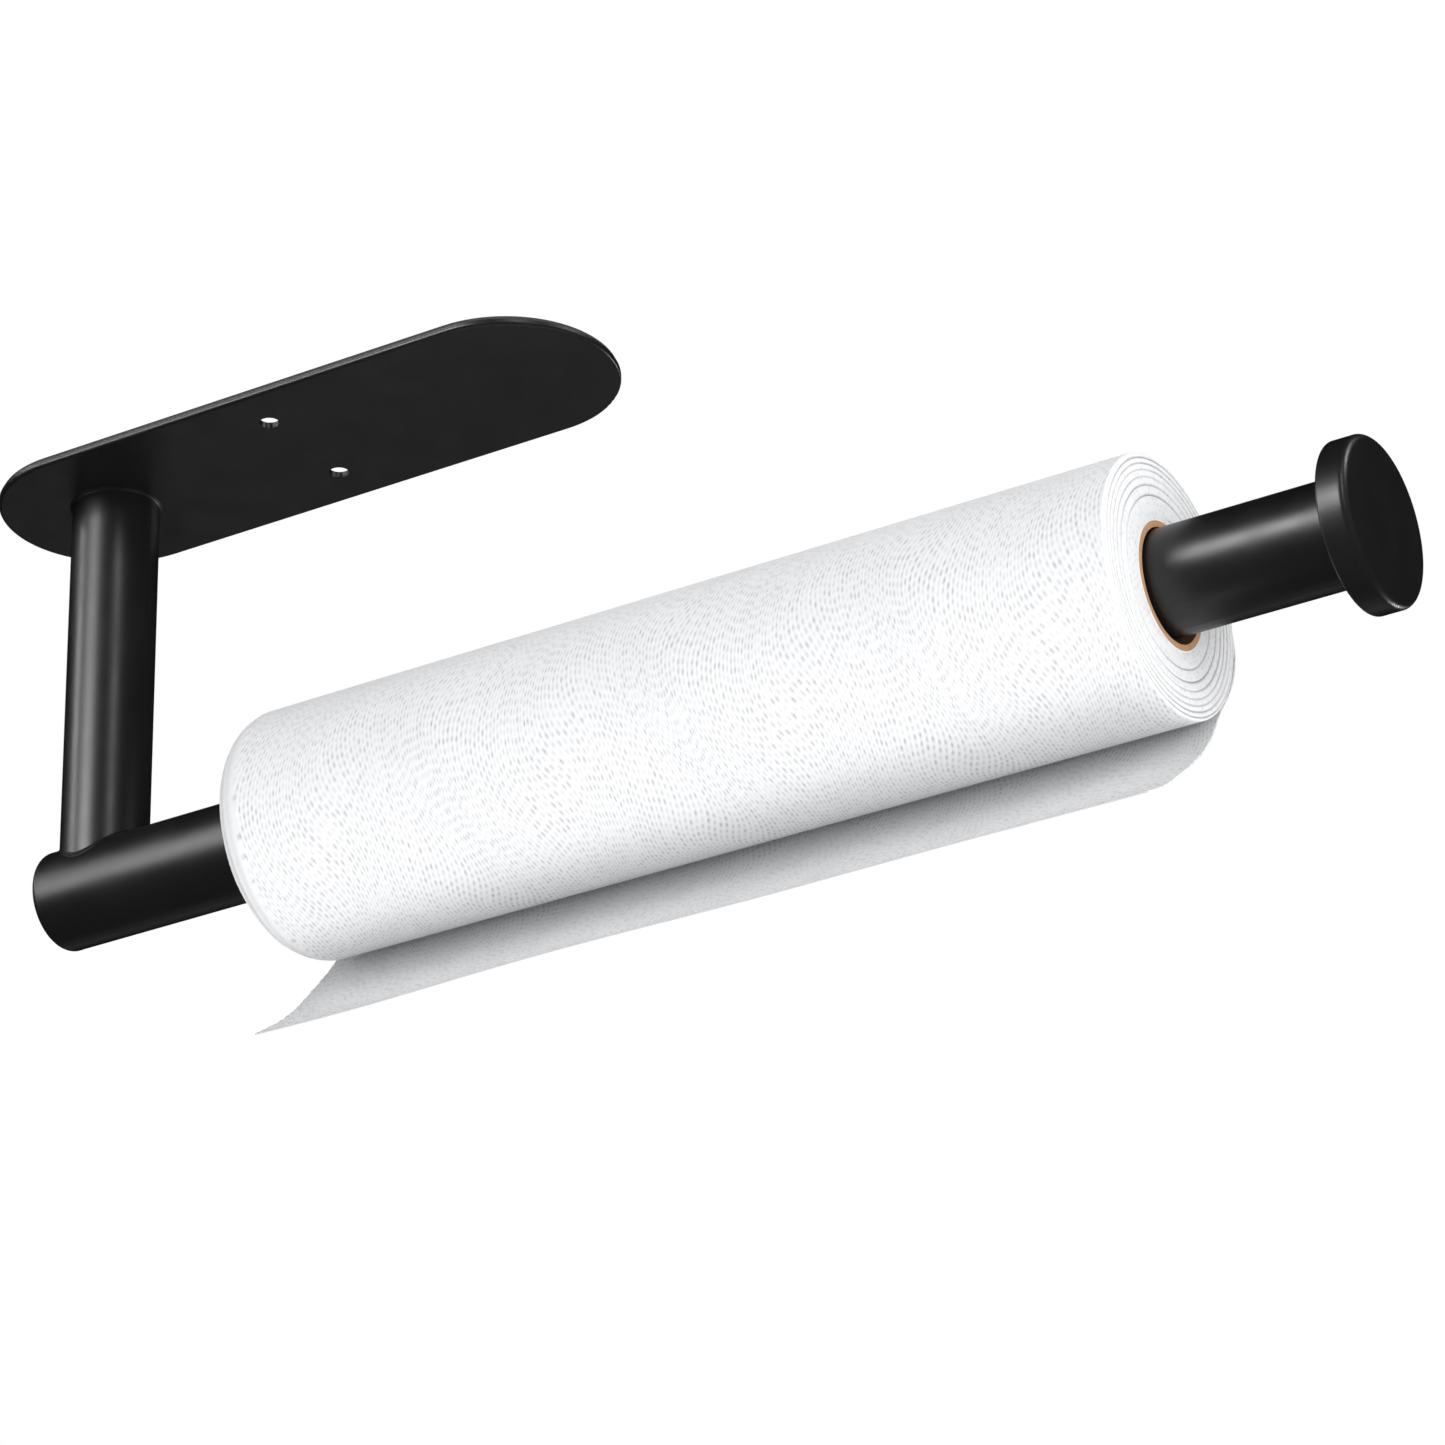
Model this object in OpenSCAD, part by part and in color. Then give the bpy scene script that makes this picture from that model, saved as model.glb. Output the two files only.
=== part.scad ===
// Under-cabinet paper towel holder with a part-used towel roll on its bar.
// Millimetres, +Z up, +X along the bar from the post to the free end.
// The origin is the centre of the face that meets the underside of the cabinet.

/* [Adhesive pad] */
// Thickness of the foam pad on top of the plate
pad_thickness = 1; // [0.5:0.1:2]
// How far the pad stays inside the edge of the plate
pad_inset = 0.5; // [0.5:0.5:4]
// Diameter of the pad's clearance around each fixing hole
pad_hole_d = 9; // [7:0.5:14]

/* [Mounting plate] */
// Overall length of the plate
plate_length = 176; // [140:1:220]
// Width of the plate, and the diameter of its round ends
plate_width = 56; // [44:1:70]
// Thickness of the plate
plate_thickness = 1.5; // [1.5:0.1:4]
// Radius of the plate's lower edge
plate_edge_r = 0.8; // [0.3:0.1:1.2]
// Diameter of the two fixing holes
fixing_hole_d = 5; // [4:0.1:6]
// Spacing of the fixing holes across the plate
fixing_hole_spacing = 30; // [22:1:38]

/* [Post] */
// Outer diameter of the post
post_d = 22; // [20:0.5:25]
// Wall of the post tube
post_wall = 1.5; // [1:0.1:2]
// Distance from the post's axis to the nearer end of the plate
post_inset = 30; // [24:1:40]
// Drop from the cabinet to the bar's axis
bar_drop = 109; // [90:1:150]
// Length of the threaded plug in the top of the post
post_insert_length = 16; // [14:1:24]
// Length of the threaded plug in the foot of the post, above the bar
saddle_insert_length = 18; // [16:1:26]

/* [Bar] */
// Outer diameter of the bar
bar_d = 25; // [25:0.5:30]
// Wall of the bar tube
bar_wall = 1.5; // [1:0.1:2]
// Bar that shows beyond the post on the closed side, from the post's axis
bar_overhang = 13; // [12:0.5:24]
// Length from the post's axis to the outer face of the end cap
reach = 348; // [300:1:420]
// Thickness of the closing disc at the short end
end_plug_flange = 2.5; // [2:0.1:4]
// Gap between that plug's spigot and the saddle washer inside the tube
end_plug_gap = 0.8; // [0.5:0.1:1.5]
// Radius of the plug's outer edge
end_plug_edge_r = 1.8; // [0.5:0.1:2]
// Length of the threaded plug at the free end
bar_insert_length = 20; // [18:1:30]

/* [End cap] */
// Diameter of the end cap
cap_d = 40; // [36:1:50]
// Thickness of the end cap
cap_thickness = 7.5; // [7:0.1:12]
// Radius of the cap's outer edge
cap_front_r = 1.8; // [0.5:0.1:2.5]
// Radius of the cap's edge on the bar side
cap_back_r = 0.8; // [0.3:0.1:1]
// Thickness of the washer between the cap and the bar
cap_washer_thickness = 1; // [0.5:0.1:2]
// How far that washer stays inside the bar's outline
cap_washer_inset = 0.5; // [0:0.1:2.5]

/* [Screws] */
// Thread of the screws that hold the post to the plate
plate_screw_d = 3; // [3:1:4]
// Length of those screws
plate_screw_length = 12; // [12:1:16]
// Spacing of those screws, either side of the post's axis
plate_screw_spacing = 10; // [10:0.5:11]
// Thread of the saddle screw and of the cap's stud
bar_thread_d = 6; // [5:1:6]
// Length and width of the curved washer under the saddle screw's head
saddle_washer_size = 10; // [8:0.5:12]
// Height of that washer's crown above its flat
saddle_washer_crown = 3.6; // [2:0.1:4]
// Length of the saddle screw under its head
saddle_screw_length = 20; // [18:1:25]
// Length of the cap's stud that goes into the bar
stud_reach = 14; // [12:1:18]
// Depth of the stud's hole in the cap
stud_socket = 5; // [4:0.5:6]

/* [Towel roll] */
// Length of the roll
roll_length = 242; // [200:1:260]
// Diameter of the paper left on the roll
roll_d = 62; // [50:1:150]
// Radial slack between the core's bore and the bar
core_slack = 1.1; // [0.5:0.1:9]
// Wall of the cardboard core
core_wall = 1.4; // [0.6:0.1:2]
// Gap between the post and the near end of the roll
roll_gap = 42; // [2:1:60]
// Thickness of the towel
sheet_thickness = 0.6; // [0.4:0.1:1]
// Angle that the loose sheet still wraps round the back of the roll, above its axis
sheet_wrap_above = 25; // [5:1:60]
// Angle below the roll's axis at which the loose sheet leaves the paper
sheet_wrap_below = 34; // [5:1:60]
// Straight part of the loose sheet where it leaves the roll
sheet_straight = 6; // [2:1:60]
// Radius of the curl in the loose sheet
sheet_curl_r = 105; // [50:1:200]
// Angle that the curl turns through
sheet_curl_angle = 29; // [5:1:60]

/* [Clearances] */
// Radial gap between parts that are pressed together
press_gap = 0.02; // [0.01:0.01:0.05]
// Radial gap in the threads
thread_gap = 0.05; // [0.02:0.01:0.1]
// Radial gap round the saddle screw where it passes through the bar
saddle_hole_gap = 0.3; // [0.1:0.1:0.5]
// Gap between the bar and the core where the roll hangs on it
hang_gap = 0.3; // [0.1:0.1:0.5]
// Gap between the wound paper and the loose sheet
sheet_gap = 0.3; // [0.1:0.1:0.5]

/* [Hidden] */
$fn = 96;

black = "#1c1c1d";
zinc = "#b4b6b8";
cut = 1; // how far a cutting solid runs past the face that it cuts

plate_top = -pad_thickness;
plate_bottom = plate_top - plate_thickness;
post_x = post_inset - plate_length / 2;
post_bore_r = post_d / 2 - post_wall;
bar_r = bar_d / 2;
bar_bore_r = bar_r - bar_wall;
cap_washer_d = bar_d - 2 * cap_washer_inset;

bar_start = post_x - bar_overhang;
tube_start = bar_start + end_plug_flange;
cap_face = post_x + reach;
cap_back = cap_face - cap_thickness;
tube_end = cap_back - cap_washer_thickness;
end_plug_spigot = bar_overhang - end_plug_flange - saddle_washer_size / 2 - end_plug_gap;

plate_head_d = 1.875 * plate_screw_d;
plate_head_height = (plate_head_d - plate_screw_d) / 2;
plate_socket_d = 0.72 * plate_screw_d;
plate_socket_depth = 0.35 * plate_screw_d;
plate_pitch = 0.175 * plate_screw_d;

bar_pitch = bar_thread_d / 6;
saddle_head_d = 10 / 6 * bar_thread_d;
saddle_head_height = bar_thread_d;
saddle_socket_d = 0.96 * bar_thread_d;
saddle_socket_depth = bar_thread_d / 2;
saddle_hole_r = bar_thread_d / 2 + saddle_hole_gap;
saddle_washer_face = bar_bore_r - saddle_washer_crown; // height of the washer's flat above the bar's axis
lock_washer_thickness = 1.4;
saddle_head_top = saddle_washer_face - lock_washer_thickness;

thread_depth = 0.5; // depth of a thread as a share of its pitch

roll_start = post_x + post_d / 2 + roll_gap;
core_d = bar_d + 2 * (core_slack + core_wall); // outer diameter of the core
core_r = core_d / 2;
core_bore_r = core_r - core_wall;
roll_axis = hang_gap + bar_r - bar_drop - core_bore_r;
sheet_r = roll_d / 2 + sheet_gap;
sheet_steps = 16; // flats along each curve of the loose sheet

// A bolt's length of thread as rings, from z = 0 upwards.
function ring_points(r, pitch, length) = let (turns = floor(length / pitch), root = r - thread_depth * pitch)
    concat([[0, 0]],
           [for (i = [0:turns - 1]) each [[root, i * pitch], [r, (i + 0.5) * pitch]]],
           [[root, turns * pitch], [root, length], [0, length]]);

module threaded_rod(d, pitch, length) {
    rotate_extrude() polygon(ring_points(d / 2, pitch, length));
}

// Turns a solid built along +Z into one along +X that starts at x and lies on the bar's axis.
module along_bar(x) {
    translate([x, 0, -bar_drop]) rotate([0, 90, 0]) children();
}

module tube(outer_r, inner_r, length) {
    difference() {
        cylinder(r = outer_r, h = length);
        translate([0, 0, -cut]) cylinder(r = inner_r, h = length + 2 * cut);
    }
}

// Half of a disc's cross-section, with a rounded edge at the bottom.
module rounded_half(r, thickness, edge_r) {
    intersection() {
        square([r, thickness]);
        union() {
            square([r - edge_r, thickness]);
            translate([0, edge_r]) square([r, thickness]);
            translate([r - edge_r, edge_r]) circle(r = edge_r);
        }
    }
}

// The same with both edges rounded.
module disc_profile(r, thickness, bottom_r, top_r) {
    intersection() {
        rounded_half(r, thickness, bottom_r);
        translate([0, thickness]) mirror([0, 1]) rounded_half(r, thickness, top_r);
    }
}

module stadium(length, width) {
    square([length - width, width], center = true);
    for (side = [-1, 1]) translate([side * (length - width) / 2, 0]) circle(d = width);
}

module plate_profile() {
    rounded_half(plate_width / 2, plate_thickness, plate_edge_r);
}

// The plate is rounded on its lower edge only.
module plate_blank() {
    straight = plate_length - plate_width;
    for (side = [-1, 1]) translate([side * straight / 2, 0, 0]) rotate_extrude() plate_profile();
    translate([-straight / 2, 0, 0]) rotate([90, 0, 90]) linear_extrude(straight) {
        plate_profile();
        mirror([1, 0]) plate_profile();
    }
}

module at_fixing_holes() {
    for (side = [-1, 1]) translate([0, side * fixing_hole_spacing / 2, 0]) children();
}

module at_plate_screws() {
    for (side = [-1, 1]) translate([post_x, side * plate_screw_spacing / 2, plate_top]) children();
}

// Countersink and clearance for one plate screw, below z = 0.
module plate_screw_cut(gap) {
    translate([0, 0, -plate_thickness - cut])
        cylinder(d = plate_screw_d + 2 * gap, h = plate_thickness + 2 * cut);
    translate([0, 0, -plate_head_height - gap])
        cylinder(d1 = plate_screw_d, d2 = plate_head_d + 2 * gap, h = plate_head_height + gap);
}

module adhesive_pad() {
    color("#3a3a3c") translate([0, 0, plate_top]) linear_extrude(pad_thickness) difference() {
        stadium(plate_length - 2 * pad_inset, plate_width - 2 * pad_inset);
        for (side = [-1, 1]) translate([0, side * fixing_hole_spacing / 2]) circle(d = pad_hole_d);
    }
}

module mounting_plate() {
    color(black) difference() {
        translate([0, 0, plate_bottom]) plate_blank();
        at_fixing_holes() translate([0, 0, plate_bottom - cut])
            cylinder(d = fixing_hole_d, h = plate_thickness + 2 * cut);
        at_plate_screws() plate_screw_cut(thread_gap);
    }
}

module plate_screw() {
    difference() {
        union() {
            translate([0, 0, -plate_screw_length])
                threaded_rod(plate_screw_d, plate_pitch, plate_screw_length - plate_head_height);
            translate([0, 0, -plate_head_height])
                cylinder(d1 = plate_screw_d, d2 = plate_head_d, h = plate_head_height);
        }
        translate([0, 0, -plate_socket_depth])
            cylinder(d = plate_socket_d, h = plate_socket_depth + cut, $fn = 6);
    }
}

module plate_screws() {
    color(zinc) at_plate_screws() plate_screw();
}

module post_top_insert() {
    color(zinc) difference() {
        translate([post_x, 0, plate_bottom - post_insert_length])
            cylinder(r = post_bore_r - press_gap, h = post_insert_length);
        at_plate_screws() {
            plate_screw_cut(thread_gap);
            translate([0, 0, -plate_thickness - post_insert_length - cut])
                cylinder(d = plate_screw_d + 2 * thread_gap, h = post_insert_length + 2 * cut);
        }
    }
}

// The bar's outline, for coping whatever stands on it.
module bar_cope() {
    along_bar(bar_start) cylinder(r = bar_r, h = bar_overhang + post_d / 2 + cut);
}

module post_tube() {
    color(black) difference() {
        translate([post_x, 0, -bar_drop]) tube(post_d / 2, post_bore_r, bar_drop + plate_bottom);
        bar_cope();
    }
}

module saddle_insert() {
    color(zinc) difference() {
        translate([post_x, 0, -bar_drop])
            cylinder(r = post_bore_r - press_gap, h = bar_r + saddle_insert_length);
        bar_cope();
        translate([post_x, 0, -bar_drop])
            cylinder(d = bar_thread_d + 2 * thread_gap, h = saddle_washer_face + saddle_screw_length + cut);
    }
}

module saddle_washer() {
    size = saddle_washer_size;
    color(zinc) difference() {
        intersection() {
            along_bar(post_x - size / 2) cylinder(r = bar_bore_r - press_gap, h = size);
            translate([post_x - size / 2, -size / 2, saddle_washer_face - bar_drop]) cube([size, size, bar_r]);
        }
        translate([post_x, 0, -bar_drop]) cylinder(r = saddle_hole_r, h = bar_r);
    }
}

module saddle_lock_washer() {
    color(zinc) translate([post_x, 0, saddle_head_top - bar_drop]) difference() {
        tube(saddle_head_d / 2 - 0.2, saddle_hole_r, lock_washer_thickness);
        translate([saddle_hole_r / 2, -0.5, -cut]) cube([saddle_head_d, 1, lock_washer_thickness + 2 * cut]);
    }
}

module saddle_screw() {
    head_bottom = saddle_head_top - saddle_head_height;
    color(zinc) translate([post_x, 0, -bar_drop]) difference() {
        union() {
            translate([0, 0, head_bottom]) cylinder(d = saddle_head_d, h = saddle_head_height);
            translate([0, 0, saddle_head_top]) threaded_rod(bar_thread_d, bar_pitch, saddle_screw_length);
        }
        translate([0, 0, head_bottom - cut])
            cylinder(d = saddle_socket_d, h = saddle_socket_depth + cut, $fn = 6);
    }
}

module bar_tube() {
    color(black) difference() {
        along_bar(tube_start) tube(bar_r, bar_bore_r, tube_end - tube_start);
        translate([post_x, 0, -bar_drop]) cylinder(r = saddle_hole_r, h = bar_r + cut);
    }
}

module bar_end_plug() {
    color(black) {
        along_bar(bar_start) rotate_extrude() rounded_half(bar_r, end_plug_flange, end_plug_edge_r);
        along_bar(tube_start) cylinder(r = bar_bore_r - press_gap, h = end_plug_spigot);
    }
}

module bar_end_insert() {
    color(zinc) along_bar(tube_end - bar_insert_length)
        tube(bar_bore_r - press_gap, bar_thread_d / 2 + thread_gap, bar_insert_length);
}

module cap_washer() {
    color("ivory") along_bar(tube_end)
        tube(cap_washer_d / 2, bar_thread_d / 2 + thread_gap, cap_washer_thickness);
}

module end_cap() {
    color(black) along_bar(cap_back) difference() {
        rotate_extrude() disc_profile(cap_d / 2, cap_thickness, cap_back_r, cap_front_r);
        translate([0, 0, -cut]) cylinder(d = bar_thread_d + 2 * press_gap, h = stud_socket + cut);
    }
}

module cap_stud() {
    color(zinc) along_bar(cap_back - cap_washer_thickness - stud_reach)
        threaded_rod(bar_thread_d, bar_pitch, stud_reach + cap_washer_thickness + stud_socket);
}

module on_roll_axis() {
    translate([roll_start, 0, roll_axis]) rotate([0, 90, 0]) children();
}

module roll_core() {
    color("#b98a5e") on_roll_axis() tube(core_r, core_bore_r, roll_length);
}

module paper_roll() {
    color("#f4f4f3") on_roll_axis() tube(roll_d / 2, core_r + press_gap, roll_length);
}

// One side of the loose sheet's section, in a frame turned so that the sheet leaves the roll at y = 0:
// round the back of the roll, then straight off it, then curling under it.
function sheet_line(offset) = let (wrap = sheet_wrap_above + sheet_wrap_below,
                                   curl_centre = [sheet_r - sheet_curl_r, -sheet_straight])
    concat([for (i = [sheet_steps:-1:0]) (sheet_r + offset) * direction(wrap * i / sheet_steps)],
           [for (i = [0:sheet_steps])
               curl_centre + (sheet_curl_r + offset) * direction(-sheet_curl_angle * i / sheet_steps)]);

function direction(angle) = [cos(angle), sin(angle)];
function reversed(list) = [for (i = [len(list) - 1:-1:0]) list[i]];

module sheet_section() {
    rotate(-sheet_wrap_below) polygon(concat(sheet_line(0), reversed(sheet_line(sheet_thickness))));
}

module loose_sheet() {
    color("white") translate([roll_start, 0, roll_axis]) rotate([90, 0, 90])
        linear_extrude(roll_length) sheet_section();
}

adhesive_pad();
mounting_plate();
plate_screws();
post_top_insert();
post_tube();
saddle_insert();
saddle_washer();
saddle_lock_washer();
saddle_screw();
bar_tube();
bar_end_plug();
bar_end_insert();
cap_washer();
end_cap();
cap_stud();
roll_core();
paper_roll();
loose_sheet();
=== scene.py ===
import math

import bmesh
import bpy
import numpy as np
from mathutils import Matrix, Vector


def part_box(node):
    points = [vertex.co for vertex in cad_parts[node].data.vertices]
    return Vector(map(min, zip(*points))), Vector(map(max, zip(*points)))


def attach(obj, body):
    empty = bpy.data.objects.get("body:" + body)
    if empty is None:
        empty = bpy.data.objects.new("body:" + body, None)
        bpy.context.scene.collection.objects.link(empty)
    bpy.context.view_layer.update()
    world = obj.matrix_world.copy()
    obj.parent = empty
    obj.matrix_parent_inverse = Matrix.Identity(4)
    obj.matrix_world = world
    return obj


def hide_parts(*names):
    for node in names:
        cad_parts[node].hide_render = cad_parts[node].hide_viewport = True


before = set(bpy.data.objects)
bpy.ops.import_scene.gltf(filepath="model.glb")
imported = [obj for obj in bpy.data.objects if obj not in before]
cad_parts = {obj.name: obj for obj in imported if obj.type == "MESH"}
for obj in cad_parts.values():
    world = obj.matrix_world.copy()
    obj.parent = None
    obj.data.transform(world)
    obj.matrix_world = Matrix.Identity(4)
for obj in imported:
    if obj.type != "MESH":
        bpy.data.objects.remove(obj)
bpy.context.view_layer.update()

MM = 0.001

# Camera
VIEW_AZIMUTH = math.radians(31.2)
VIEW_ELEVATION = math.radians(-26.6)
VIEW_TILT = math.radians(-0.9)
VIEW_DISTANCE = 1.4
VIEW_TARGET = Vector((0.120, 0.0, -0.1117))
LENS = 151.0
SENSOR = 36.0

# Stage
FLOOR_Z = -2.4
FLOOR_SIDES = 96
FLOOR_GLOW = 0.42
DOME_RADIUS = 8.0
DOME_DETAIL = 4
DOME_GREY = 0.72
BACKDROP = (-0.463, 0.765, 0.448)
BACKDROP_EDGE = 0.80
BACKDROP_CORE = 0.955
WORLD_GREY = 0.32
LAMP_DISTANCE = 1.7

# Embossing, on the wound paper and the loose sheet
ROW_PITCH = 1.05 * MM
DASH_PITCH = 2.4 * MM
DASH_FAINTEST = 0.45
DIMPLE_DEPTH = 0.26 * MM
SWIRL_SWING = 4.2 * MM
SWIRL_LENGTH = 64 * MM
SWIRLS_ROUND = 3
SWIRL_LEAN = 0.9
SWIRL_FADE = 0.15

# Wound paper
PAPER_STEP = 0.28 * MM
PAPER_TURNS = 324
FAR_FACE_RINGS = 92
NEAR_FACE_RINGS = 26
BORE_STEPS = 24
NEAR_EDGE_R = 9.0 * MM
FAR_EDGE_R = 1.0 * MM
EDGE_STEPS = 10
PRESS_GAP = 0.02 * MM
RIM_MARGIN = 0.3 * MM

# Turns and creases on the roll's end faces
WINDING_TURNS = 7.0
WINDING_CROWD = 1.7
WINDING_START = 16.4 * MM
WINDING_LEAST_SHARE = 0.02
WINDING_WIDTH = 0.18 * MM
WINDING_DEPTH = 0.40 * MM
WINDING_FADE = 0.25
WINDING_BEAT = 0.7 / MM
FACE_WAVE = 0.08 * MM
FACE_WAVES_ROUND = 9
TICK_PITCH = 1.7 * MM
TICK_ROW = 1.15 * MM
TICK_RARITY = 0.55

# Loose sheet, which leaves the back of the roll
WRAP_ABOVE = math.radians(25)
WRAP_BELOW = math.radians(34)
SHEET_STRAIGHT = 6 * MM
CURL_R = 105 * MM
CURL_ANGLE = math.radians(29)
SHEET_GAP = 0.3 * MM
SHEET_THICKNESS = 0.6 * MM
SHEET_STEP_LONG = 0.32 * MM
SHEET_STEP_DOWN = 0.62 * MM
SHEET_SKEW = 9.0 * MM
SHEET_DIMPLE = 0.24 * MM
HEM_ROWS = 1.5
EDGE_WAVE = 0.7 * MM
EDGE_WAVE_SHORT = 5 * MM
EDGE_WAVE_LONG = 9 * MM
FREE_EDGE_WAVE = 0.8 * MM
FREE_EDGE_SHORT = 22 * MM
FREE_EDGE_LONG = 31 * MM

# How strongly the painted shade darkens the paper in each kind of crease
GROOVE_SHADE = 1.0
TICK_SHADE = 0.28
DASH_SHADE = 0.80
DASH_SHARPNESS = 1.5
HEM_SHADE = 0.45
PAINTED_SHADE_TINT = (0.30, 0.30, 0.31)

# Beads where the post meets the plate and the bar
TOP_BEAD = 0.7 * MM
SADDLE_BEAD = 0.5 * MM
BEAD_SINK = 0.15 * MM
BEAD_TURNS = 128
BEAD_STEPS = 5


# ---------- materials ----------

def link(tree, source, target):
    tree.links.new(source, target)


def object_coords(tree, stretch=(1.0, 1.0, 1.0)):
    coords = tree.nodes.new("ShaderNodeTexCoord")
    mapping = tree.nodes.new("ShaderNodeMapping")
    mapping.inputs["Scale"].default_value = stretch
    link(tree, coords.outputs["Object"], mapping.inputs["Vector"])
    return mapping.outputs["Vector"]


def noise(tree, scale, detail=2.0, stretch=(1.0, 1.0, 1.0)):
    node = tree.nodes.new("ShaderNodeTexNoise")
    node.inputs["Scale"].default_value = scale
    node.inputs["Detail"].default_value = detail
    link(tree, object_coords(tree, stretch), node.inputs["Vector"])
    return node.outputs["Fac"]


def cells(tree, scale):
    node = tree.nodes.new("ShaderNodeTexVoronoi")
    node.inputs["Scale"].default_value = scale
    link(tree, object_coords(tree), node.inputs["Vector"])
    return node.outputs["Distance"]


def blend_colour(tree, factor, low, high):
    node = tree.nodes.new("ShaderNodeMix")
    node.data_type = "RGBA"
    node.inputs["A"].default_value = (*low, 1.0)
    node.inputs["B"].default_value = (*high, 1.0)
    link(tree, factor, node.inputs["Factor"])
    return node.outputs["Result"]


def darken(tree, colour, factor, tint):
    node = tree.nodes.new("ShaderNodeMix")
    node.data_type = "RGBA"
    node.inputs["B"].default_value = (*tint, 1.0)
    link(tree, colour, node.inputs["A"])
    link(tree, factor, node.inputs["Factor"])
    return node.outputs["Result"]


def spread(tree, value, low, high, from_low=0.3, from_high=0.7):
    node = tree.nodes.new("ShaderNodeMapRange")
    node.inputs["From Min"].default_value = from_low
    node.inputs["From Max"].default_value = from_high
    node.inputs["To Min"].default_value = low
    node.inputs["To Max"].default_value = high
    link(tree, value, node.inputs["Value"])
    return node.outputs["Result"]


def bump(tree, height, distance, strength=1.0, below=None):
    node = tree.nodes.new("ShaderNodeBump")
    node.inputs["Distance"].default_value = distance
    node.inputs["Strength"].default_value = strength
    link(tree, height, node.inputs["Height"])
    if below is not None:
        link(tree, below, node.inputs["Normal"])
    return node.outputs["Normal"]


def start_material(name):
    material = bpy.data.materials.new(name)
    material.use_nodes = True
    tree = material.node_tree
    return material, tree, tree.nodes["Principled BSDF"]


def black_coat():
    """Matte powder coat: fine orange peel, slight cloudiness in colour and gloss."""
    material, tree, shader = start_material("black_coat")
    cloud = noise(tree, 38.0, 3.0)
    colour = blend_colour(tree, cloud, (0.0055, 0.0055, 0.0058), (0.0095, 0.0095, 0.0099))
    link(tree, colour, shader.inputs["Base Color"])
    link(tree, spread(tree, noise(tree, 90.0, 3.0), 0.33, 0.40), shader.inputs["Roughness"])
    shader.inputs["Specular IOR Level"].default_value = 0.5
    peel = bump(tree, noise(tree, 900.0, 2.0), 0.03 * MM, 0.35)
    link(tree, bump(tree, noise(tree, 3200.0, 1.0), 0.01 * MM, 0.3, peel), shader.inputs["Normal"])
    return material


def zinc_steel():
    """Plated steel, faintly drawn along its length."""
    material, tree, shader = start_material("zinc_steel")
    grain = noise(tree, 420.0, 3.0, (0.15, 1.0, 1.0))
    colour = blend_colour(tree, grain, (0.42, 0.43, 0.44), (0.60, 0.61, 0.61))
    link(tree, colour, shader.inputs["Base Color"])
    link(tree, spread(tree, grain, 0.26, 0.44), shader.inputs["Roughness"])
    shader.inputs["Metallic"].default_value = 1.0
    link(tree, bump(tree, grain, 0.02 * MM, 0.4), shader.inputs["Normal"])
    return material


def nylon():
    """Off-white moulded nylon, slightly cloudy."""
    material, tree, shader = start_material("nylon")
    cloud = noise(tree, 160.0, 2.0)
    colour = blend_colour(tree, cloud, (0.68, 0.66, 0.60), (0.80, 0.78, 0.73))
    link(tree, colour, shader.inputs["Base Color"])
    link(tree, spread(tree, cloud, 0.40, 0.55), shader.inputs["Roughness"])
    link(tree, bump(tree, noise(tree, 1800.0), 0.02 * MM, 0.3), shader.inputs["Normal"])
    return material


def foam():
    """Closed-cell foam: small pits and an uneven dark grey."""
    material, tree, shader = start_material("foam")
    pits = cells(tree, 1500.0)
    colour = blend_colour(tree, noise(tree, 220.0, 3.0), (0.030, 0.030, 0.032), (0.060, 0.060, 0.063))
    link(tree, colour, shader.inputs["Base Color"])
    link(tree, spread(tree, pits, 0.82, 0.95, 0.0, 0.6), shader.inputs["Roughness"])
    link(tree, bump(tree, pits, 0.15 * MM, 0.8), shader.inputs["Normal"])
    return material


def core_board():
    """Kraft board: long fibres, flecks and a slightly furred surface."""
    material, tree, shader = start_material("core_board")
    fibres = noise(tree, 900.0, 4.0, (0.25, 1.0, 1.0))
    colour = blend_colour(tree, fibres, (0.46, 0.235, 0.110), (0.66, 0.385, 0.205))
    flecks = spread(tree, noise(tree, 2600.0, 2.0), 0.0, 0.5, 0.60, 0.72)
    link(tree, darken(tree, colour, flecks, (0.22, 0.11, 0.05)), shader.inputs["Base Color"])
    link(tree, spread(tree, fibres, 0.74, 0.90), shader.inputs["Roughness"])
    link(tree, bump(tree, fibres, 0.06 * MM, 0.6), shader.inputs["Normal"])
    return material


def towel_paper(name, light, shade):
    """Soft crepe paper: fibres, crepe lines round the roll, and painted shade in the creases from the mesh.
    """
    material, tree, shader = start_material(name)
    crepe = noise(tree, 800.0, 3.0, (0.35, 1.0, 1.0))
    colour = blend_colour(tree, crepe, shade, light)
    # Painted shade: the crease attribute darkens the colour in the mesh's dashes, grooves and creases.
    crease_shade = tree.nodes.new("ShaderNodeAttribute")
    crease_shade.attribute_name = "crease_shade"
    link(tree, darken(tree, colour, crease_shade.outputs["Fac"], PAINTED_SHADE_TINT), shader.inputs["Base Color"])
    link(tree, spread(tree, crepe, 0.86, 0.96), shader.inputs["Roughness"])
    shader.inputs["Specular IOR Level"].default_value = 0.2
    shader.inputs["Sheen Weight"].default_value = 0.08
    fibre = bump(tree, noise(tree, 2600.0, 3.0), 0.05 * MM, 0.5)
    link(tree, bump(tree, crepe, 0.08 * MM, 0.5, fibre), shader.inputs["Normal"])
    return material


def paint(piece, material):
    piece.data.materials.clear()
    piece.data.materials.append(material)


# ---------- meshes ----------

def smooth(piece):
    for polygon in piece.data.polygons:
        polygon.use_smooth = True


def add_mesh(name, points, faces, crease_shade=None):
    mesh = bpy.data.meshes.new(name)
    mesh.from_pydata(points.tolist(), [], faces)
    mesh.validate()
    # The crease attribute carries the paper's painted shade, per point.
    if crease_shade is not None:
        layer = mesh.attributes.new("crease_shade", "FLOAT", "POINT")
        layer.data.foreach_set("value", crease_shade.astype(np.float32))
    piece = bpy.data.objects.new(name, mesh)
    bpy.context.scene.collection.objects.link(piece)
    smooth(piece)
    return piece


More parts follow.
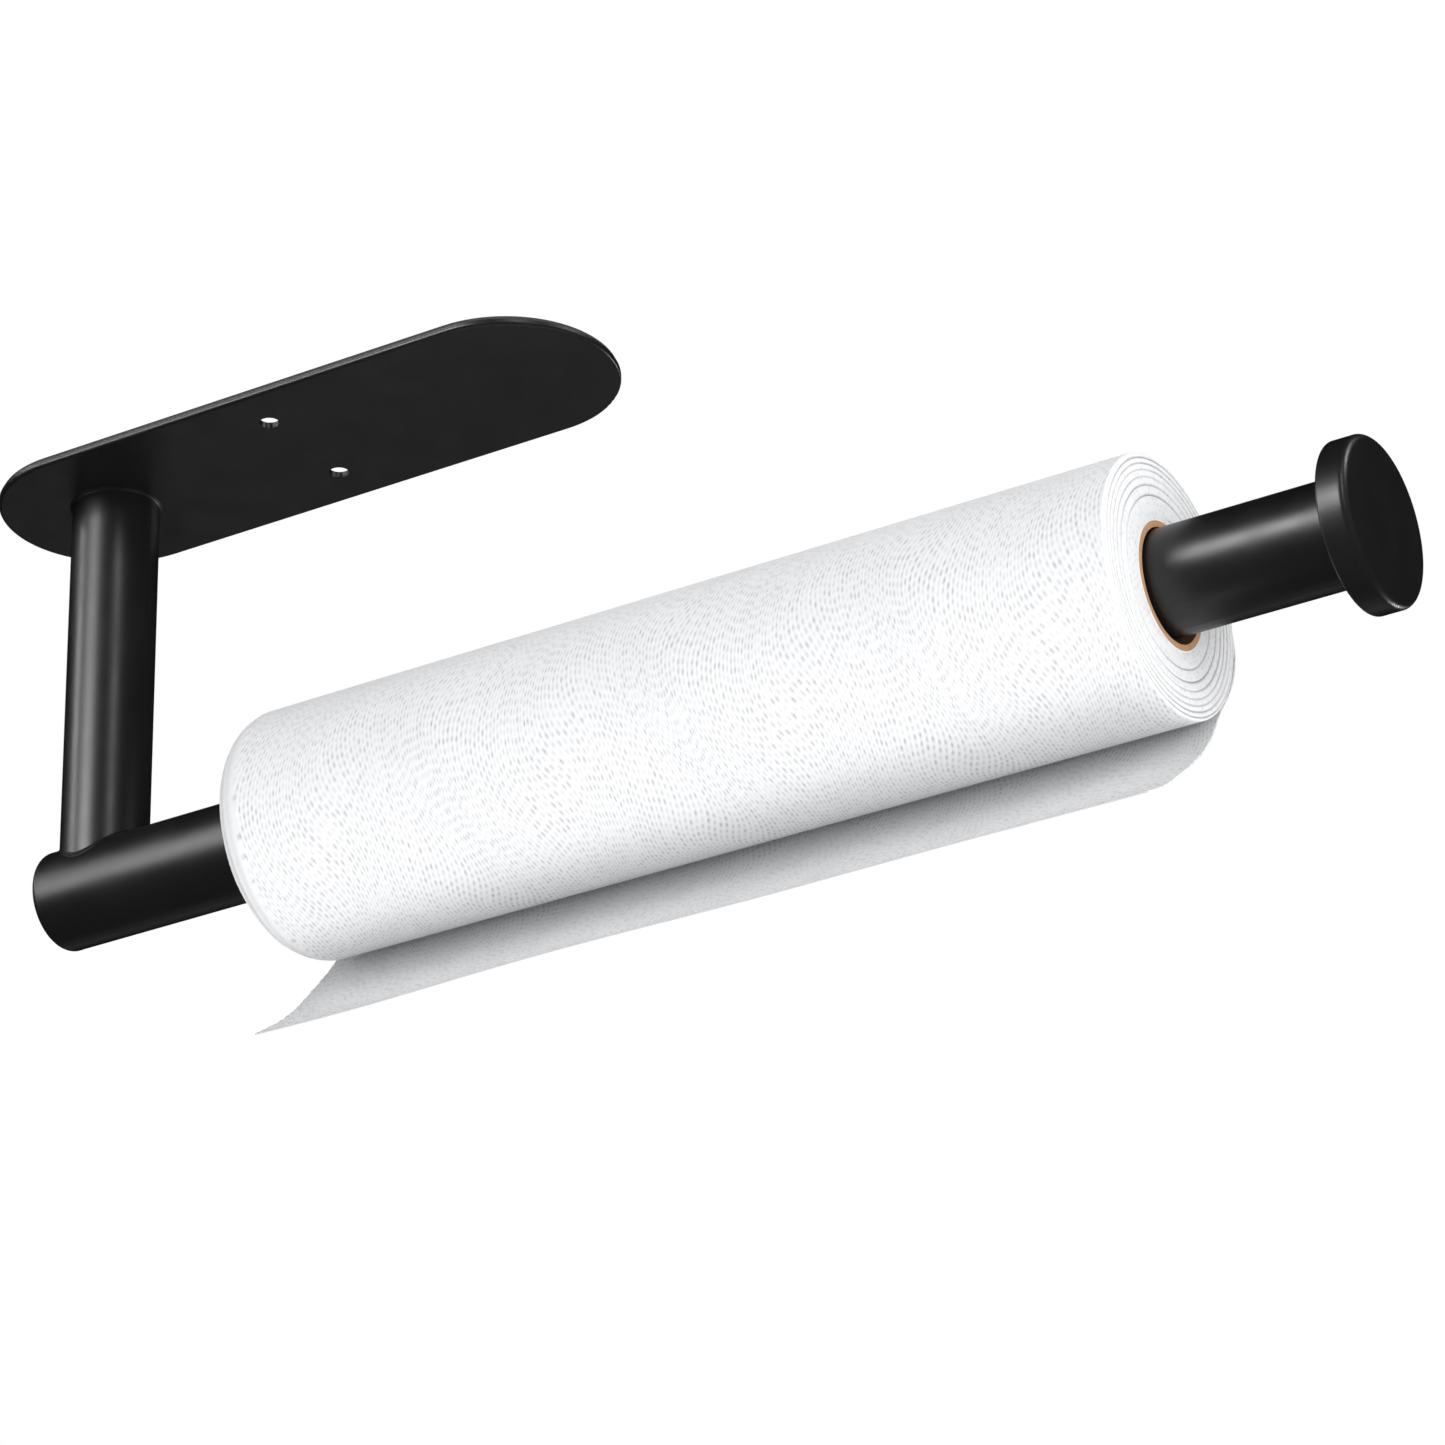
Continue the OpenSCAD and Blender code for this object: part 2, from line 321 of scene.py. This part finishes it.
def ring_faces(rows, columns, close_columns=True):
    """Quads over rows that close on themselves, and over columns that may."""
    row = np.arange(rows)
    column = np.arange(columns if close_columns else columns - 1)
    r, c = np.meshgrid(row, column, indexing="ij")
    r_next = (r + 1) % rows
    c_next = (c + 1) % columns
    corners = [r * columns + c, r_next * columns + c, r_next * columns + c_next, r * columns + c_next]
    return np.stack(corners, -1).reshape(-1, 4)


def scatter(a, b):
    """A fixed value from 0 to 1 for each pair of whole numbers, with no pattern to the eye."""
    value = np.sin(a * 12.9898 + b * 78.233) * 43758.5453
    return value - np.floor(value)


def dimples(along, around, girth):
    """Short pressed dashes in wavy rows round the roll, from 0 on the flat to 1 at a dash's bottom."""
    turn = 2 * math.pi * SWIRLS_ROUND * around / girth
    place = 2 * math.pi * along / SWIRL_LENGTH
    fade = 1 - SWIRL_FADE + SWIRL_FADE * np.cos(2 * place)
    swing = SWIRL_SWING * np.sin(turn + SWIRL_LEAN * np.sin(place)) * fade
    row = (along + swing) / ROW_PITCH
    index = np.floor(row)
    step = around / DASH_PITCH + scatter(index, 0 * index)
    dash = np.floor(step)
    pressed = scatter(index, dash)
    across = np.sin(math.pi * (row - index)) ** 3
    lengthwise = np.sin(math.pi * (step - dash))
    return across * lengthwise * (DASH_FAINTEST + (1 - DASH_FAINTEST) * pressed)


def soft_wave(a, b):
    """A slow unevenness between -1 and 1."""
    return (np.sin(a) + np.sin(1.7 * b + 1.1) + np.sin(0.6 * a - 1.3 * b + 0.4)) / 3


def paper_profile(x0, x1, outer_r, inner_r):
    """The wound paper's section from the near end's edge to the far end and back through the bore."""
    rows = []
    steps = round((x1 - x0) / PAPER_STEP)
    for x in np.linspace(x0 + NEAR_EDGE_R, x1 - FAR_EDGE_R, steps):
        rows.append((x, outer_r, 0.0, 1.0, 1.0))
    for k in range(1, EDGE_STEPS + 1):
        t = math.pi / 2 * k / EDGE_STEPS
        centre_x = x1 - FAR_EDGE_R
        centre_r = outer_r - FAR_EDGE_R
        rows.append((centre_x + FAR_EDGE_R * math.sin(t), centre_r + FAR_EDGE_R * math.cos(t),
                     math.sin(t), math.cos(t), 0.0))
    for r in np.linspace(outer_r - FAR_EDGE_R, inner_r, FAR_FACE_RINGS)[1:]:
        rows.append((x1, r, 1.0, 0.0, 0.0))
    for x in np.linspace(x1, x0, BORE_STEPS)[1:]:
        rows.append((x, inner_r, 0.0, -1.0, 0.0))
    for r in np.linspace(inner_r, outer_r - NEAR_EDGE_R, NEAR_FACE_RINGS)[1:]:
        rows.append((x0, r, -1.0, 0.0, 0.0))
    for k in range(1, EDGE_STEPS):
        t = math.pi / 2 * k / EDGE_STEPS
        centre_x = x0 + NEAR_EDGE_R
        centre_r = outer_r - NEAR_EDGE_R
        rows.append((centre_x - NEAR_EDGE_R * math.cos(t), centre_r + NEAR_EDGE_R * math.sin(t),
                     -math.cos(t), math.sin(t), 0.0))
    return np.array(rows)


def winding_grooves(r, turn, outer_r):
    """Where the turns of paper show on an end face, from 0 to 1: a spiral that is closer outside."""
    depth = outer_r - WINDING_START
    share = np.clip((r - WINDING_START) / depth, WINDING_LEAST_SHARE, 1)
    phase = WINDING_TURNS * share ** WINDING_CROWD - turn / (2 * math.pi)
    pitch = depth / (WINDING_TURNS * WINDING_CROWD * share ** (WINDING_CROWD - 1))
    off = np.abs(phase - np.round(phase)) * pitch
    strength = 1 - WINDING_FADE + WINDING_FADE * np.sin(2.0 * turn + WINDING_BEAT * r)
    begun = r > WINDING_START + WINDING_WIDTH
    return strength * begun * np.exp(-((off / WINDING_WIDTH) ** 2))


def end_ticks(r, turn):
    """Faint short creases in rings on an end face, from 0 to 1."""
    ring = r / TICK_ROW
    index = np.floor(ring)
    count = np.round(2 * math.pi * (index + 0.5) * TICK_ROW / TICK_PITCH)
    step = turn / (2 * math.pi) * count + scatter(index, 0 * index)
    tick = np.mod(np.floor(step), count)
    pressed = scatter(index, tick) > TICK_RARITY
    shape = np.sin(math.pi * (ring - index)) ** 2 * np.sin(math.pi * (step - np.floor(step))) ** 4
    return pressed * shape


def wound_paper():
    low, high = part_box("paper_roll")
    core_low, core_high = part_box("roll_core")
    outer_r = (high[1] - low[1]) / 2
    inner_r = (core_high[1] - core_low[1]) / 2 + PRESS_GAP
    axis_z = (high[2] + low[2]) / 2
    rows = paper_profile(low[0], high[0], outer_r, inner_r)
    turn = np.linspace(0, 2 * math.pi, PAPER_TURNS, endpoint=False)
    x, r, nx, nr, skin = (rows[:, k][:, None] for k in range(5))
    t = turn[None, :]
    press = dimples(x - low[0], t * outer_r, 2 * math.pi * outer_r)
    inward = DIMPLE_DEPTH * skin * press
    on_end = np.abs(nx) * (r > inner_r + WINDING_WIDTH) * (r < outer_r - RIM_MARGIN)
    groove = winding_grooves(r, t, outer_r) * on_end
    creased = FACE_WAVE * on_end * (1 + soft_wave(FACE_WAVES_ROUND * t, r / MM))
    ticks = end_ticks(r, t) * on_end
    inward = inward + WINDING_DEPTH * groove + creased + FACE_WAVE * ticks
    px = x - nx * inward
    pr = r - nr * inward
    points = np.stack([px + 0 * t, pr * np.sin(t), axis_z + pr * np.cos(t)], -1).reshape(-1, 3)
    # Painted shade: darker colour at the dashes' bottoms, in the spiral grooves and in the ticks on the end
    # faces.
    painted_dash_shade = DASH_SHADE * skin * press ** DASH_SHARPNESS
    crease_shade = (GROOVE_SHADE * groove + TICK_SHADE * ticks + painted_dash_shade).reshape(-1)
    faces = ring_faces(len(rows), PAPER_TURNS).tolist()
    piece = add_mesh("wound_paper", points, faces, crease_shade)
    paint(piece, towel_paper("towel_paper", (0.87, 0.875, 0.885), (0.80, 0.805, 0.82)))
    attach(piece, "roll")
    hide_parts("paper_roll")
    return piece


def sheet_length(radius):
    return radius * (WRAP_ABOVE + WRAP_BELOW) + SHEET_STRAIGHT + CURL_R * CURL_ANGLE


def sheet_path(radius, travelled):
    """Place and outward direction on the sheet's middle line, as (y, z) from the roll's axis."""
    wrap = radius * (WRAP_ABOVE + WRAP_BELOW)
    round_back = np.clip(travelled, 0, wrap) / radius
    straight = np.clip(travelled - wrap, 0, SHEET_STRAIGHT)
    curl = np.clip(travelled - wrap - SHEET_STRAIGHT, 0, None) / CURL_R
    angle = WRAP_ABOVE - round_back
    leave = -WRAP_BELOW
    out = np.stack([np.cos(angle), np.sin(angle)], -1)
    down = np.array([math.sin(leave), -math.cos(leave)])
    turned = leave - curl
    curled = np.stack([np.cos(turned) - math.cos(leave), np.sin(turned) - math.sin(leave)], -1)
    place = radius * out + straight[..., None] * down + CURL_R * curled
    out = np.stack([np.cos(angle - curl), np.sin(angle - curl)], -1)
    return place, out


def hanging_sheet():
    low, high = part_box("paper_roll")
    outer_r = (high[1] - low[1]) / 2
    axis_z = (high[2] + low[2]) / 2
    radius = outer_r + SHEET_GAP + SHEET_THICKNESS / 2
    length = sheet_length(radius)
    width = high[0] - low[0]
    rows = round(length / SHEET_STEP_DOWN)
    columns = round(width / SHEET_STEP_LONG)
    share = np.linspace(0, 1, columns)[None, :]
    down = np.linspace(0, 1, rows)[:, None]
    # the free edge isn't quite square: it is torn shorter at the near end
    u = down * (length - SHEET_SKEW * (1 - share))
    place, out = sheet_path(radius, u)
    inset = EDGE_WAVE * (1 + soft_wave(u / EDGE_WAVE_SHORT, u / EDGE_WAVE_LONG))
    x = low[0] + inset + share * (width - 2 * inset)
    hem = (down > 1 - HEM_ROWS / rows) + 0 * x
    press = dimples(x - low[0], u, 2 * math.pi * outer_r) * (1 - hem)
    ripple = FREE_EDGE_WAVE * down ** 2 * soft_wave(x / FREE_EDGE_SHORT, x / FREE_EDGE_LONG)
    lift = ripple - SHEET_DIMPLE * (press - 0.5)
    sides = []
    for face in (1, -1):
        offset = lift + face * (SHEET_THICKNESS / 2 - SHEET_DIMPLE / 2)
        y = place[..., 0] + offset * out[..., 0]
        z = axis_z + place[..., 1] + offset * out[..., 1]
        sides.append(np.stack([x, y, z], -1))
    ring = np.concatenate([sides[0], sides[1][::-1]])
    faces = ring_faces(2 * rows, columns, False).tolist()
    for column, flip in ((0, False), (columns - 1, True)):
        for k in range(rows - 1):
            quad = [k, k + 1, 2 * rows - 2 - k, 2 * rows - 1 - k]
            corners = [row * columns + column for row in quad]
            faces.append(corners[::-1] if flip else corners)
    # Painted shade: darker colour at the dashes' bottoms and along the hem rows at the free edge.
    crease_shade = DASH_SHADE * press ** DASH_SHARPNESS + HEM_SHADE * hem
    crease_shade = np.concatenate([crease_shade, crease_shade[::-1]]).reshape(-1)
    piece = add_mesh("hanging_sheet", ring.reshape(-1, 3), faces, crease_shade)
    # The sheet's paper is a slightly darker copy of the roll's paper: painted shade.
    paint(piece, towel_paper("towel_paper_shaded_sheet", (0.86, 0.865, 0.870), (0.78, 0.785, 0.79)))
    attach(piece, "sheet")
    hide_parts("loose_sheet")
    return piece


def bead(name, wall, corner, foot):
    """A small concave fillet between a wall point and a foot point, bent towards their corner."""
    turn = np.linspace(0, 2 * math.pi, BEAD_TURNS, endpoint=False)
    a, c, b = (np.array(f(turn)).T for f in (wall, corner, foot))
    loops = []
    for k in range(BEAD_STEPS + 1):
        t = k / BEAD_STEPS
        loops.append((1 - t) ** 2 * a + 2 * t * (1 - t) * c + t ** 2 * b)
    middle = (a + b) / 2
    inside = c + (c - middle) * (BEAD_SINK / np.linalg.norm(c - middle, axis=1))[:, None]
    loops.append(inside)
    piece = add_mesh(name, np.concatenate(loops), ring_faces(len(loops), BEAD_TURNS).tolist())
    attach(piece, "frame")
    return piece


def post_beads(coat):
    post_low, post_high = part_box("post_tube")
    bar_low, bar_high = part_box("bar_tube")
    centre_x = (post_low[0] + post_high[0]) / 2
    post_r = (post_high[0] - post_low[0]) / 2
    bar_r = (bar_high[2] - bar_low[2]) / 2
    bar_z = (bar_high[2] + bar_low[2]) / 2
    plate_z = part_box("mounting_plate")[0][2]

    def around(radius, t, z):
        return [centre_x + radius * np.cos(t), radius * np.sin(t), z + 0 * t]

    def on_bar(radius, t, above=0.0):
        y = radius * np.sin(t)
        return [centre_x + radius * np.cos(t), y, bar_z + np.sqrt(bar_r ** 2 - y ** 2) + above]

    top = bead("post_top_bead",
               lambda t: around(post_r, t, plate_z - TOP_BEAD),
               lambda t: around(post_r, t, plate_z),
               lambda t: around(post_r + TOP_BEAD, t, plate_z))
    saddle = bead("post_saddle_bead",
                  lambda t: on_bar(post_r, t, SADDLE_BEAD),
                  lambda t: on_bar(post_r, t),
                  lambda t: on_bar(post_r + SADDLE_BEAD, t))
    for piece in (top, saddle):
        paint(piece, coat)


def outward(piece):
    """Turns every face of a closed piece to face out."""
    work = bmesh.new()
    work.from_mesh(piece.data)
    bmesh.ops.recalc_face_normals(work, faces=work.faces)
    work.to_mesh(piece.data)
    work.free()


def paint_nodes(coat):
    """Gives each CAD node that stays in view its finish."""
    finishes = (
        (foam(), ["adhesive_pad"]),
        (coat, ["mounting_plate", "post_tube", "bar_tube", "bar_end_plug", "end_cap"]),
        (zinc_steel(), ["plate_screws", "post_top_insert", "saddle_insert", "saddle_washer",
                        "saddle_lock_washer", "saddle_screw", "bar_end_insert", "cap_stud"]),
        (nylon(), ["cap_washer"]),
        (core_board(), ["roll_core"]),
    )
    for finish, names in finishes:
        for name in names:
            paint(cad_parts[name], finish)


# ---------- stage, light and camera ----------

def plain_material(name, low, high):
    material, tree, shader = start_material(name)
    link(tree, blend_colour(tree, noise(tree, 3.0, 3.0), low, high), shader.inputs["Base Color"])
    shader.inputs["Roughness"].default_value = 0.9
    return material


def add_floor():
    """A pale disc out to the surround, which isn't mirrored in the coat."""
    radius = math.sqrt(DOME_RADIUS ** 2 - FLOOR_Z ** 2)
    turn = np.linspace(0, 2 * math.pi, FLOOR_SIDES, endpoint=False)
    rim = np.stack([radius * np.cos(turn), radius * np.sin(turn), FLOOR_Z + 0 * turn], -1)
    floor = add_mesh("stage_floor", rim, [list(range(FLOOR_SIDES))])
    material = plain_material("stage_pale", (0.80, 0.80, 0.80), (0.84, 0.84, 0.84))
    shader = material.node_tree.nodes["Principled BSDF"]
    shader.inputs["Emission Color"].default_value = (1.0, 1.0, 1.0, 1.0)
    shader.inputs["Emission Strength"].default_value = FLOOR_GLOW
    paint(floor, material)
    floor.visible_glossy = False


def towards_backdrop(tree):
    """Brightness over the surround, by direction from its centre."""
    unit = tree.nodes.new("ShaderNodeVectorMath")
    unit.operation = "NORMALIZE"
    link(tree, object_coords(tree), unit.inputs[0])
    along = tree.nodes.new("ShaderNodeVectorMath")
    along.operation = "DOT_PRODUCT"
    along.inputs[1].default_value = BACKDROP
    link(tree, unit.outputs["Vector"], along.inputs[0])
    return spread(tree, along.outputs["Value"], DOME_GREY, 1.0, BACKDROP_EDGE, BACKDROP_CORE)


def add_dome():
    """A pale surround, white on the backdrop's side, that doesn't light the object or show in its gloss."""
    work = bmesh.new()
    bmesh.ops.create_icosphere(work, subdivisions=DOME_DETAIL, radius=DOME_RADIUS)
    mesh = bpy.data.meshes.new("stage_dome")
    work.to_mesh(mesh)
    work.free()
    dome = bpy.data.objects.new("stage_dome", mesh)
    bpy.context.scene.collection.objects.link(dome)
    material, tree, shader = start_material("stage_white")
    shader.inputs["Base Color"].default_value = (0.0, 0.0, 0.0, 1.0)
    shader.inputs["Emission Color"].default_value = (1.0, 1.0, 1.0, 1.0)
    link(tree, towards_backdrop(tree), shader.inputs["Emission Strength"])
    paint(dome, material)
    dome.visible_diffuse = False
    dome.visible_glossy = False
    dome.visible_transmission = False
    dome.visible_shadow = False


def add_softbox(name, toward, size, watts):
    """A rectangular lamp that faces the object and isn't seen itself."""
    data = bpy.data.lights.new(name, "AREA")
    data.shape = "RECTANGLE"
    data.size, data.size_y = size
    data.energy = watts
    lamp = bpy.data.objects.new(name, data)
    direction = Vector(toward).normalized()
    lamp.location = VIEW_TARGET + direction * LAMP_DISTANCE
    lamp.rotation_euler = direction.to_track_quat("Z", "Y").to_euler()
    lamp.visible_camera = False
    bpy.context.scene.collection.objects.link(lamp)
    return lamp


def add_fill(name, toward, size, watts):
    """A wide lamp that lights the paper evenly and draws nothing on the black coat."""
    add_softbox(name, toward, size, watts).visible_glossy = False


def add_strip(name, toward, size, watts):
    """A lamp that draws a soft strip on the black coat and lights nothing else."""
    add_softbox(name, toward, size, watts).visible_diffuse = False


def add_lights():
    add_fill("wide_front", toward=(0.10, -1.0, 0.10), size=(1.8, 1.4), watts=6.8)
    add_fill("wide_left", toward=(-0.85, -0.60, 0.45), size=(0.9, 0.9), watts=5.0)
    add_fill("wide_below", toward=(0.10, -0.95, -0.75), size=(1.8, 1.2), watts=5.5)
    add_fill("wide_under", toward=(0.10, -0.22, -1.0), size=(1.2, 0.8), watts=7.5)
    add_fill("wide_right", toward=(1.0, -0.30, 0.0), size=(1.2, 1.2), watts=22.5)
    add_fill("wide_top", toward=(0.10, -0.20, 1.0), size=(1.6, 1.2), watts=6.0)
    add_fill("wide_back", toward=(0.30, 1.0, 0.15), size=(1.8, 1.2), watts=12.0)
    add_strip("strip_left", toward=(-0.80, -0.46, 0.40), size=(0.16, 0.50), watts=5.0)
    add_strip("strip_bar", toward=(-0.36, -0.86, 0.30), size=(0.70, 0.60), watts=21.0)
    add_strip("strip_bar_low", toward=(-0.62, -0.76, 0.08), size=(0.30, 0.40), watts=4.0)
    add_strip("strip_right", toward=(0.60, -0.66, 0.45), size=(0.28, 0.90), watts=5.2)
    add_strip("strip_under", toward=(-0.40, 0.80, -0.45), size=(1.2, 0.8), watts=0.6)
    add_strip("strip_back", toward=(0.68, 0.15, 0.72), size=(0.50, 0.40), watts=8.0)
    add_strip("strip_back_low", toward=(0.30, 0.92, -0.26), size=(0.20, 0.45), watts=6.0)


def add_world():
    """Even light from all round, which the coat doesn't mirror."""
    world = bpy.data.worlds.new("studio")
    world.use_nodes = True
    background = world.node_tree.nodes["Background"]
    background.inputs["Color"].default_value = (WORLD_GREY, WORLD_GREY, WORLD_GREY, 1.0)
    bpy.context.scene.world = world
    world.cycles_visibility.glossy = False


def add_camera():
    a, e = VIEW_AZIMUTH, VIEW_ELEVATION
    right = Vector((math.cos(a), math.sin(a), 0.0))
    up = Vector((-math.sin(a) * math.sin(e), math.cos(a) * math.sin(e), math.cos(e)))
    back = Vector((math.sin(a) * math.cos(e), -math.cos(a) * math.cos(e), math.sin(e)))
    tilted_right = right * math.cos(VIEW_TILT) + up * math.sin(VIEW_TILT)
    tilted_up = up * math.cos(VIEW_TILT) - right * math.sin(VIEW_TILT)
    camera = bpy.data.objects.new("camera", bpy.data.cameras.new("camera"))
    camera.data.lens = LENS
    camera.data.sensor_width = SENSOR
    camera.data.clip_end = 50.0
    turned = Matrix((tilted_right, tilted_up, back)).transposed().to_4x4()
    camera.matrix_world = Matrix.Translation(VIEW_TARGET + back * VIEW_DISTANCE) @ turned
    bpy.context.scene.collection.objects.link(camera)
    bpy.context.scene.camera = camera


def main():
    bpy.context.scene.view_settings.view_transform = "Standard"
    add_camera()
    add_lights()
    add_world()
    add_floor()
    add_dome()
    coat = black_coat()
    paint_nodes(coat)
    for piece in (wound_paper(), hanging_sheet()):
        outward(piece)
    post_beads(coat)
    for name in ("post_top_bead", "post_saddle_bead"):
        outward(bpy.data.objects[name])


main()
